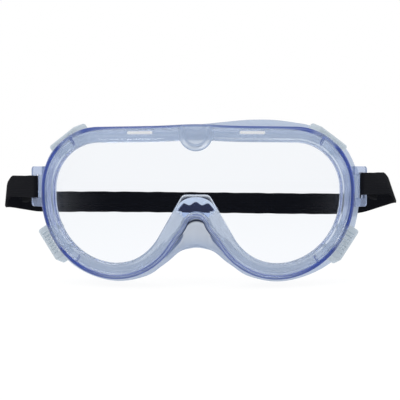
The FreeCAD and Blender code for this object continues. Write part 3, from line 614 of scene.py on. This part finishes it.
def make_nose_rib():
    """The rib over the nose bridge and a small square hook at each end of it."""
    upright = Matrix.Rotation(math.pi / 2, 4, "X")
    rib = prism("nose_rib", crescent(), -0.75, 0.05, upright)
    bar = (7.4, 10.2, -4.6, -4.0)  # nearest and furthest from the middle, lowest and highest
    tip = (7.4, 8.0, -6.0, -4.65)
    hooks = []
    for side in (-1, 1):
        for near, far, low, high in (bar, tip):
            ends = sorted((side * near, side * far))
            shape = rectangle(ends[0], ends[1], low, high)
            hooks.append(prism("hook", shape, -1.0, -0.2, upright))
    join_meshes(rib, hooks)
    bevel(rib, 0.12)
    smooth(rib, 50)
    rib.data.materials.append(rib_material())
    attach(rib, "goggle_body")


def make_lug(side):
    """The lug that a clip's bar snaps into: a round post on a short web to the wall."""
    x, y, z = HINGE
    post = circle(LUG_RADIUS, x, y)
    web = rectangle(x - LUG_ROOT, x, y - LUG_RADIUS, y + LUG_RADIUS)
    outlines = [[(side * across, back) for across, back in shape] for shape in (post, web)]
    return [prism("lug", outline, z - HALF_LUG, z + HALF_LUG) for outline in outlines]


def make_lug_opening(side):
    """The bore of a lug with the narrower mouth the bar snaps in through."""
    x, y, z = side * HINGE[0], HINGE[1], HINGE[2]
    low, high = z - 9, z + 9
    ends = sorted((x, x + side * 6))
    mouth = rectangle(ends[0], ends[1], y - LUG_MOUTH / 2, y + LUG_MOUTH / 2)
    return [prism("bore", circle(LUG_BORE, x, y), low, high), prism("mouth", mouth, low, high)]


def slit_places():
    """Middle and direction, in the front view, of the four short relief slits in the lip."""
    inset = 3.8  # from the rim's outer edge to the middle of a slit
    for centre, radius, angle in ((RIM.corner, RIM.corner_radius, 60.8),
                                  (RIM.lobe, RIM.lobe_radius, -56.8)):
        out = np.array([math.cos(math.radians(angle)), math.sin(math.radians(angle))])
        for side in (-1, 1):
            point = np.array(centre) + out * (radius - inset)
            yield side * point[0], point[1], math.atan2(out[1], side * out[0])


def make_slits():
    """Thin blades that cut the relief slits."""
    blade = rectangle(-1.9, 1.9, -0.28, 0.28)
    blades = []
    for x, z, angle in slit_places():
        place = (Matrix.Translation((x, bent(x, 0.0), z))
                 @ Matrix.Rotation(-angle, 4, "Y") @ Matrix.Rotation(math.pi / 2, 4, "X"))
        blades.append(prism("slit", blade, -2.5, 1.2, place))
    return blades


def make_frame():
    """The whole soft frame in one closed mesh."""
    grid = frame_grid()
    body = sweep("goggle_frame", grid, ring=True)
    combine(body, [make_button()] + make_lug(-1) + make_lug(1), "UNION")
    combine(body, make_lug_opening(-1) + make_lug_opening(1) + make_slits(), "DIFFERENCE")
    paint(body, grid, frame_milk_and_painted_light())
    smooth(body, 42)
    body.data.materials.clear()
    body.data.materials.append(pvc_material())
    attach(body, "goggle_body")
    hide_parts("frame")


# ---------------------------------------------------------------- the headband

BAND_HEIGHT = 12.8
BAND_THICKNESS = 1.3
HEADING = math.radians(45)  # direction of the straight runs in plan, from +X
TURN = 1.85  # half the space between the two layers at a clip
TURN_PLACE = 7.3  # from the hinge to the turn round the clip's bar
TAIL = 26.0  # from the hinge to the tail's cut end, where the end and back pieces also meet
STRAIGHT = 34.5  # from the hinge to the bend at the side
BEND_RADIUS = 8.0
REAR_LEAN = math.radians(7)  # slope of the rear run where it meets the bend
RIBS = 9
ALONG = np.array([math.cos(HEADING), math.sin(HEADING)])
INWARD = np.array([-ALONG[1], ALONG[0]])


def straight(first, last, offset):
    """A straight run in plan between two distances from the hinge, beside the line through it."""
    reach = np.linspace(first, last, int(abs(last - first) / 0.8) + 2)[:, None]
    return HINGE[:2] + ALONG * reach + INWARD * offset


def arc_points(centre, radius, first, last, count):
    """Points of an arc in plan."""
    angles = np.linspace(first, last, count + 1)
    return centre + radius * np.stack([np.cos(angles), np.sin(angles)], axis=1)


def loop_plan():
    """The right end of the band: along the tail, round the clip's bar and back out."""
    centre = HINGE[:2] + ALONG * TURN_PLACE
    turn = arc_points(centre, TURN, HEADING + math.pi / 2, HEADING + 3 * math.pi / 2, 16)
    return np.concatenate([straight(TAIL, TURN_PLACE, TURN), turn[1:-1],
                           straight(TURN_PLACE, TAIL, -TURN)])


def back_plan(extra):
    """The right half of the rest: a straight run, the bend and the rear to its middle."""
    run = straight(TAIL, STRAIGHT + extra, -TURN)
    centre = run[-1] + INWARD * BEND_RADIUS
    first = HEADING - math.pi / 2
    bend = arc_points(centre, BEND_RADIUS, first, math.pi / 2 - REAR_LEAN, 24)
    radius = bend[-1][0] / math.sin(REAR_LEAN)
    middle = np.array([0.0, bend[-1][1] - radius * math.cos(REAR_LEAN)])
    rear = arc_points(middle, radius, math.pi / 2 - REAR_LEAN, math.pi / 2, 90)
    return np.concatenate([run, bend[1:], rear[1:]])


def band_levels(side):
    """Height of the band's middle on one side: at the clip, at the bend and round the back."""
    return (10.0, 4.4, -3.0) if side > 0 else (8.2, 1.5, -1.9)


def back_level(plan):
    """Height of the band's middle beyond the clips: level, then down through each bend."""
    x, y = plan[:, 0], plan[:, 1]
    right, left = np.array(band_levels(1)), np.array(band_levels(-1))
    share = ((x + 60) / 120).clip(0, 1)[:, None]
    front, bend, rear = (right * share + left * (1 - share)).T
    edge = np.where(x > 0, x.max(), -x.min())
    turn = np.where(x > 0, y[np.argmax(x)], y[np.argmin(x)])  # how far back the band is widest
    fall = 27  # the rear run reaches its own height this far in from the band's edge
    behind = rear + (bend - rear) * ((np.abs(x) - edge + fall) / fall).clip(0, 1) ** 2
    before = bend + (front - bend) * smooth_step(turn - y, 0, 8.5)
    return np.where(y > turn, behind, before)


def back_lean(plan):
    """How far the band leans at each place: its lower edge stands out round the bends."""
    most = np.where(plan[:, 0] > 0, 0.36, 0.1)
    return -most * smooth_step(np.abs(plan[:, 0]), 98.0, 117.0)


def band_section():
    """The band's section: (across its thickness, up), ribbed along its length on both faces."""
    points = []
    half = BAND_HEIGHT / 2
    face = BAND_THICKNESS / 2
    for side in (1, -1):
        for step in np.linspace(-1, 1, RIBS * 4 + 1):
            up = step * (half - 0.35)
            rib = 0.11 * abs(math.sin(math.pi * (step + 1) / 2 * RIBS))
            edge = max(0.0, abs(step) - 0.94) * 4.0
            points.append((side * (face - 0.12 + rib - edge), side * up))
        points.append((side * face * 0.3, side * half))
        points.append((-side * face * 0.3, side * half))
    return np.array(points)


def band_run(name, plan, level, lean, outward, seed):
    """A closed length of band along a plan path, at given heights and leans.

    outward is 1 or -1, so that the band's outer face is on the same side, and seed moves the
    slight waves of its edges.
    """
    section = band_section()
    ahead = np.gradient(plan, axis=0)
    ahead /= np.linalg.norm(ahead, axis=1)[:, None]
    out = np.stack([ahead[:, 1], -ahead[:, 0]], axis=1) * outward
    length = np.concatenate([[0], np.cumsum(np.linalg.norm(np.diff(plan, axis=0), axis=1))])
    grid = np.zeros((len(plan), len(section), 3))
    wave = 1 + 0.012 * np.sin(length / 3.1 + seed) + 0.008 * np.sin(length / 1.7 + 2 * seed)
    for j, (across, up) in enumerate(section):
        grid[:, j, :2] = plan + out * (across + lean * up)[:, None]
        grid[:, j, 2] = level + up * wave
    obj = sweep(name, grid, ring=False)
    write_band_uv(obj, length, len(section))
    return obj


def write_band_uv(obj, length, around):
    """UV in metres: along the band and up it."""
    layer = obj.data.uv_layers.new(name="UVMap")
    co = np.zeros(len(obj.data.vertices) * 3)
    obj.data.vertices.foreach_get("co", co)
    height = co.reshape(-1, 3)[:, 2]
    index = np.zeros(len(obj.data.loops), dtype=np.int32)
    obj.data.loops.foreach_get("vertex_index", index)
    uv = np.stack([length[index // around] * MM, height[index]], axis=1)
    layer.data.foreach_set("uv", uv.ravel())


def mirrored(plan):
    """A plan path on the other side of the goggles."""
    return plan * np.array([-1.0, 1.0])


def make_band_end(name, side, material):
    """The loop of elastic round a clip, which bends between the clip and the frame's side."""
    loop = loop_plan()
    if side < 0:
        loop = mirrored(loop)
    main = smooth_step(np.linspace(0, 1, len(loop)), 0.40, 0.60)
    start = band_levels(side)[0]
    drop = 3.5 * smooth_step(loop[:, 1], HINGE[1] + 8, HINGE[1] + 19)
    end = band_run("headband_end_" + name, loop, start - drop * (1 - main),
                   back_lean(loop), side, 1.3 * side)
    smooth(end, 50)
    end.data.materials.append(material)
    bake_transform(end)
    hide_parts("headband")


def make_headband():
    """The elastic in three pieces, each between two bodies that one joint joins."""
    material = elastic_material()
    make_band_end("right", 1, material)
    make_band_end("left", -1, material)
    longer = 1.2  # the left side run is this much longer than drawn, and the right one shorter
    right, left = back_plan(-longer), mirrored(back_plan(longer))
    step = (left[-1, 1] - right[-1, 1]) / 2
    for half, shift in ((right, step), (left, -step)):
        half[:, 1] += shift * (1 - smooth_step(np.abs(half[:, 0]), 0.0, 90.0))
    plan = np.concatenate([right, left[-2::-1]])
    rear = band_run("headband_back", plan, back_level(plan), back_lean(plan), 1, 0.4)
    smooth(rear, 50)
    rear.data.materials.append(material)
    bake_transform(rear)
    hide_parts("headband")


# ---------------------------------------------------------------- materials

# painted light: EDGE_BLUE and EDGE_MILK deepen the bead's blue for the light it gathers, over the
# plastic's own tint
EDGE_BLUE = (0.015, 0.04, 0.36)  # the bead, where it is clear
EDGE_MILK = (0.06, 0.11, 0.42)  # the bead, where it is cloudy
FLANGE_COLOUR = (0.53, 0.61, 0.74)
FLANGE_MILK = 0.6  # share of cloudiness in the flange
BRIDGE_TINT = (0.85, 0.89, 0.96)
BRIDGE_VEIL = (0.30, 0.34, 0.60)
# painted shade: the near-black of the dark line under the bead at the nose
CREASE_SHADE_COLOUR = (0.02, 0.025, 0.05)


def new_material(name):
    """An empty node material and a function that adds nodes to it.

    The function takes a value or another node's output for each input named in its call.
    """
    material = bpy.data.materials.new(name)
    material.use_nodes = True
    tree = material.node_tree
    tree.nodes.clear()

    def add(kind, **values):
        node = tree.nodes.new("ShaderNode" + kind)
        for key, value in values.items():
            socket = node.inputs.get(key.replace("_", " "))
            if socket is None:
                setattr(node, key, value)
            elif isinstance(value, bpy.types.NodeSocket):
                tree.links.new(value, socket)
            else:
                socket.default_value = value
        return node

    return material, tree, add


def link_mix(tree, mix, factor, first, second):
    """Join a mix shader's three inputs."""
    if isinstance(factor, bpy.types.NodeSocket):
        tree.links.new(factor, mix.inputs[0])
    else:
        mix.inputs[0].default_value = factor
    tree.links.new(first, mix.inputs[1])
    tree.links.new(second, mix.inputs[2])
    return mix.outputs[0]


def clear_plastic(name, tint, roughness, ior, milk, milk_colour, absorb, grain, painted=False):
    """Moulded clear plastic: it bends light, darkens with thickness and is a little milky.

    milk is the share of cloudiness, absorb how fast red, green and blue fade on the way through
    it, and grain the scale of its faint unevenness. A painted one also reads how blue, milky,
    see-through and shaded each place is: the bead's deep blue is partly painted light, and the
    shade is painted shade.
    """
    material, tree, add = new_material(name)
    place = add("TexCoord").outputs["Object"]
    noise = add("TexNoise", Vector=place, Scale=grain, Detail=3.0)
    bump = add("Bump", Height=noise.outputs["Fac"], Strength=0.03, Distance=0.0004)
    rough = add("MapRange", Value=noise.outputs["Fac"])
    rough.inputs["To Min"].default_value = roughness * 0.6
    rough.inputs["To Max"].default_value = roughness * 1.5
    glass = add("BsdfPrincipled", Base_Color=(*tint, 1), Roughness=rough.outputs[0], IOR=ior,
                Normal=bump.outputs[0])
    glass.inputs["Transmission Weight"].default_value = 1.0
    haze = add("BsdfTranslucent", Color=(*milk_colour, 1), Normal=bump.outputs[0])
    chalk = add("BsdfDiffuse", Color=(*milk_colour, 1), Normal=bump.outputs[0])
    cloud = link_mix(tree, add("MixShader"), 0.5, haze.outputs[0], chalk.outputs[0])
    if painted:
        milk_and_painted_light = add("SeparateColor")
        painting = add("Attribute", attribute_name="milk_and_painted_light")
        tree.links.new(painting.outputs["Color"], milk_and_painted_light.inputs[0])
        # painted light: the first channel deepens the bead's blue, in the clear part and in the
        # milkiness
        blue = add("Mix", data_type="RGBA")
        tree.links.new(milk_and_painted_light.outputs[0], blue.inputs["Factor"])
        blue.inputs[6].default_value = (*tint, 1)
        blue.inputs[7].default_value = (*EDGE_BLUE, 1)
        tree.links.new(blue.outputs[2], glass.inputs["Base Color"])
        deep = add("Mix", data_type="RGBA")
        tree.links.new(milk_and_painted_light.outputs[0], deep.inputs["Factor"])
        tree.links.new(milk_tone(tree, add, milk_and_painted_light, milk_colour), deep.inputs[6])
        deep.inputs[7].default_value = (*EDGE_MILK, 1)
        tree.links.new(deep.outputs[2], haze.inputs["Color"])
        tree.links.new(deep.outputs[2], chalk.inputs["Color"])
        milky = add("MapRange", Value=milk_and_painted_light.outputs[1])
        milky.inputs["To Min"].default_value = milk
        milky.inputs["To Max"].default_value = FLANGE_MILK
        more = add("Math", operation="MULTIPLY_ADD")
        tree.links.new(milk_and_painted_light.outputs[0], more.inputs[0])
        more.inputs[1].default_value = 0.3
        tree.links.new(milky.outputs[0], more.inputs[2])
        body = link_mix(tree, add("MixShader"), more.outputs[0], glass.outputs[0], cloud)
        pane = add("BsdfTransparent", Color=(*BRIDGE_TINT, 1))
        veil = add("BsdfDiffuse", Color=(*BRIDGE_VEIL, 1))
        thin = link_mix(tree, add("MixShader"), 0.03, pane.outputs[0], veil.outputs[0])
        body = link_mix(tree, add("MixShader"), milk_and_painted_light.outputs[2], body, thin)
        # painted shade: the fourth channel mixes in a near-black diffuse for the dark line under
        # the bead
        crease_shade = add("BsdfDiffuse", Color=(*CREASE_SHADE_COLOUR, 1))
        body = link_mix(tree, add("MixShader"), painting.outputs["Alpha"], body,
                        crease_shade.outputs[0])
    else:
        body = link_mix(tree, add("MixShader"), milk, glass.outputs[0], cloud)
    window = add("BsdfTransparent", Color=(*[0.5 + 0.5 * c for c in tint], 1))
    shadow = add("LightPath").outputs["Is Shadow Ray"]
    surface = link_mix(tree, add("MixShader"), shadow, body, window.outputs[0])
    output = add("OutputMaterial")
    tree.links.new(surface, output.inputs["Surface"])
    strength = max(absorb)
    volume = add("VolumeAbsorption", Color=(*[1 - a / strength for a in absorb], 1),
                 Density=strength)
    tree.links.new(volume.outputs[0], output.inputs["Volume"])
    return material


def milk_tone(tree, add, milk_and_painted_light, milk_colour):
    """Colour of the milkiness: a little deeper in the thin flange and wall."""
    tone = add("Mix", data_type="RGBA")
    tree.links.new(milk_and_painted_light.outputs[1], tone.inputs["Factor"])
    tone.inputs[6].default_value = (*milk_colour, 1)
    tone.inputs[7].default_value = (*FLANGE_COLOUR, 1)
    return tone.outputs[2]


def pvc_material():
    """Soft clear-blue vinyl."""
    return clear_plastic("frame_pvc", tint=(0.95, 0.97, 1.0), roughness=0.10, ior=1.45, milk=0.06,
                         milk_colour=(0.56, 0.63, 0.72), absorb=(32, 24, 11), grain=260,
                         painted=True)


def rib_material():
    """Milky vinyl of the nose rib."""
    return clear_plastic("rib_milky", tint=(0.9, 0.93, 1.0), roughness=0.25, ior=1.1, milk=0.8,
                         milk_colour=(0.72, 0.80, 0.90), absorb=(14, 10, 5), grain=200)


def pad_material():
    """Frosted vinyl."""
    return clear_plastic("pad_frosted", tint=(0.97, 0.98, 1.0), roughness=0.4, ior=1.45, milk=0.9,
                         milk_colour=(1.0, 1.0, 1.0), absorb=(4, 3, 1), grain=1500)


def clip_material():
    """Hard clear plastic."""
    return clear_plastic("clip_clear", tint=(0.96, 0.98, 1.0), roughness=0.05, ior=1.45, milk=0.3,
                         milk_colour=(0.42, 0.50, 0.68), absorb=(110, 85, 36), grain=400)


def cap_material():
    """Milky polyethylene."""
    return clear_plastic("vent_cap", tint=(0.93, 0.96, 0.97), roughness=0.35, ior=1.4, milk=0.8,
                         milk_colour=(0.66, 0.71, 0.75), absorb=(9, 6, 4), grain=500)


def lens_material():
    """Clear polycarbonate: a faint tint, and a mirror only where it is seen at a slant."""
    material, tree, add = new_material("lens_clear")
    place = add("TexCoord").outputs["Object"]
    noise = add("TexNoise", Vector=place, Scale=60.0, Detail=4.0)
    haze = add("MapRange", Value=noise.outputs["Fac"])
    haze.inputs["To Min"].default_value = 0.01
    haze.inputs["To Max"].default_value = 0.05
    fresnel = add("Fresnel", IOR=1.45)
    window = add("BsdfTransparent", Color=(0.955, 0.965, 0.98, 1))
    mirror = add("BsdfGlossy", Color=(0.9, 0.93, 1.0, 1), Roughness=haze.outputs[0])
    share = add("Math", operation="MULTIPLY_ADD")
    share.use_clamp = True
    tree.links.new(fresnel.outputs[0], share.inputs[0])
    share.inputs[1].default_value = 0.5
    share.inputs[2].default_value = -0.018
    surface = link_mix(tree, add("MixShader"), share.outputs[0], window.outputs[0],
                       mirror.outputs[0])
    output = add("OutputMaterial")
    tree.links.new(surface, output.inputs["Surface"])
    return material


def elastic_material():
    """Black woven elastic: cords along the band, crossed by a fine weft."""
    material, tree, add = new_material("elastic")
    place = add("UVMap").outputs["UV"]
    weft = add("TexWave", Vector=place, Scale=420.0, Distortion=0.4, wave_type="BANDS",
               bands_direction="X")
    cords = add("TexWave", Vector=place, Scale=320.0, Distortion=0.3, wave_type="BANDS",
                bands_direction="Y")
    fuzz = add("TexNoise", Vector=place, Scale=2500.0, Detail=3.0)
    weave = add("Math", operation="MULTIPLY")
    tree.links.new(weft.outputs["Fac"], weave.inputs[0])
    tree.links.new(cords.outputs["Fac"], weave.inputs[1])
    height = add("Math", operation="ADD")
    tree.links.new(weave.outputs[0], height.inputs[0])
    tree.links.new(fuzz.outputs["Fac"], height.inputs[1])
    bump = add("Bump", Height=height.outputs[0], Strength=0.4, Distance=0.0002)
    colour = add("ValToRGB", Fac=height.outputs[0])
    colour.color_ramp.elements[0].position = 0.3
    colour.color_ramp.elements[0].color = (0.0008, 0.0009, 0.0018, 1)
    colour.color_ramp.elements[1].position = 1.0
    colour.color_ramp.elements[1].color = (0.0042, 0.0048, 0.0080, 1)
    cloth = add("BsdfPrincipled", Base_Color=colour.outputs[0], Roughness=0.72,
                Normal=bump.outputs[0])
    cloth.inputs["Specular IOR Level"].default_value = 0.07
    output = add("OutputMaterial")
    tree.links.new(cloth.outputs[0], output.inputs["Surface"])
    return material


def dress(node, material, edge):
    """Give a CAD node its material, and round its sharp edges if a radius is given."""
    obj = frame["nodes"][node]
    if edge:
        weld = obj.modifiers.new("weld", "WELD")
        weld.merge_threshold = 0.002 * MM
        rounding = obj.modifiers.new("rounding", "BEVEL")
        rounding.width = edge * MM
        rounding.segments = 2
        rounding.limit_method = "ANGLE"
        rounding.angle_limit = math.radians(50)
    obj.data.materials.clear()
    obj.data.materials.append(material)


# ---------------------------------------------------------------- floor, light and camera


def make_floor():
    """A plain white floor under the goggles' feet."""
    half = 4.0
    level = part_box("frame")[0].z
    mesh = bpy.data.meshes.new("floor")
    mesh.from_pydata([(-half, -half, level), (half, -half, level), (half, half, level),
                      (-half, half, level)], [], [(0, 1, 2, 3)])
    floor = bpy.data.objects.new("floor", mesh)
    bpy.context.scene.collection.objects.link(floor)
    material, tree, add = new_material("floor_white")
    white = add("BsdfPrincipled", Base_Color=(0.1, 0.1, 0.1, 1), Roughness=1.0)
    white.inputs["Specular IOR Level"].default_value = 0.0
    white.inputs["Emission Color"].default_value = (1, 1, 1, 1)
    white.inputs["Emission Strength"].default_value = 0.91
    output = add("OutputMaterial")
    tree.links.new(white.outputs[0], output.inputs["Surface"])
    mesh.materials.append(material)
    floor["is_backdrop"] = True


def make_world():
    """White to look at, and less bright on the camera's side so that clear edges show."""
    world = bpy.data.worlds.new("studio")
    bpy.context.scene.world = world
    world.use_nodes = True
    tree = world.node_tree
    tree.nodes.clear()
    coord = tree.nodes.new("ShaderNodeTexCoord")
    split = tree.nodes.new("ShaderNodeSeparateXYZ")
    tree.links.new(coord.outputs["Generated"], split.inputs[0])
    ramp = tree.nodes.new("ShaderNodeMapRange")
    ramp.interpolation_type = "SMOOTHSTEP"
    ramp.inputs["From Min"].default_value = -0.6
    ramp.inputs["From Max"].default_value = 0.3
    ramp.inputs["To Min"].default_value = 0.5
    ramp.inputs["To Max"].default_value = 1.0
    tree.links.new(split.outputs["Y"], ramp.inputs["Value"])
    path = tree.nodes.new("ShaderNodeLightPath")
    strength = tree.nodes.new("ShaderNodeMath")
    strength.operation = "MAXIMUM"
    tree.links.new(path.outputs["Is Camera Ray"], strength.inputs[0])
    tree.links.new(ramp.outputs[0], strength.inputs[1])
    sky = tree.nodes.new("ShaderNodeBackground")
    sky.inputs["Color"].default_value = (1, 1, 1, 1)
    tree.links.new(strength.outputs[0], sky.inputs["Strength"])
    output = tree.nodes.new("ShaderNodeOutputWorld")
    tree.links.new(sky.outputs[0], output.inputs["Surface"])


def make_light(name, place, size, power):
    """A soft square light aimed at the goggles, with its place and size in metres."""
    lamp = bpy.data.lights.new(name, "AREA")
    lamp.size = size
    lamp.energy = power
    obj = bpy.data.objects.new(name, lamp)
    bpy.context.scene.collection.objects.link(obj)
    obj.location = place
    obj.rotation_euler = (-Vector(place)).to_track_quat("-Z", "Y").to_euler()


def make_camera():
    """A camera in front of the lens, a little to its right and above."""
    scene = bpy.context.scene
    data = bpy.data.cameras.new("camera")
    distance = 0.45
    data.lens = 77.0
    data.sensor_width = 36.0
    camera = bpy.data.objects.new("camera", data)
    scene.collection.objects.link(camera)
    azimuth, elevation = math.radians(1.5), math.radians(2.0)
    back = Vector((math.sin(azimuth) * math.cos(elevation),
                   -math.cos(azimuth) * math.cos(elevation), math.sin(elevation)))
    aim = Vector((2.2, 0.0, 2.1)) * MM
    camera.location = aim + back * distance
    camera.rotation_euler = (aim - camera.location).to_track_quat("-Z", "Y").to_euler()
    scene.camera = camera


def set_rendering():
    """Plain colours and enough bounces for clear plastic."""
    scene = bpy.context.scene
    scene.view_settings.view_transform = "Standard"
    scene.cycles.max_bounces = 20
    scene.cycles.transmission_bounces = 20
    scene.cycles.transparent_max_bounces = 24
    scene.cycles.caustics_refractive = False
    scene.cycles.caustics_reflective = False


make_frame()
make_brow_pads()
make_nose_rib()
make_headband()
dress("lens", lens_material(), 0)
for cap in ("upper_left", "upper_right", "lower_left", "lower_right"):
    dress("vent_cap_" + cap, cap_material(), 0.25)
for side_name in ("left", "right"):
    dress("strap_clip_" + side_name, clip_material(), 0.3)
make_floor()
make_world()
make_light("key", (-0.7, -0.9, 1.1), 0.8, 14)
make_light("fill", (0.9, -0.6, 0.7), 0.8, 6)
make_camera()
set_rendering()

boxes = {"cad": cad_box, "visual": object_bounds()}
{name: [list(corner) for corner in box] for name, box in boxes.items()}
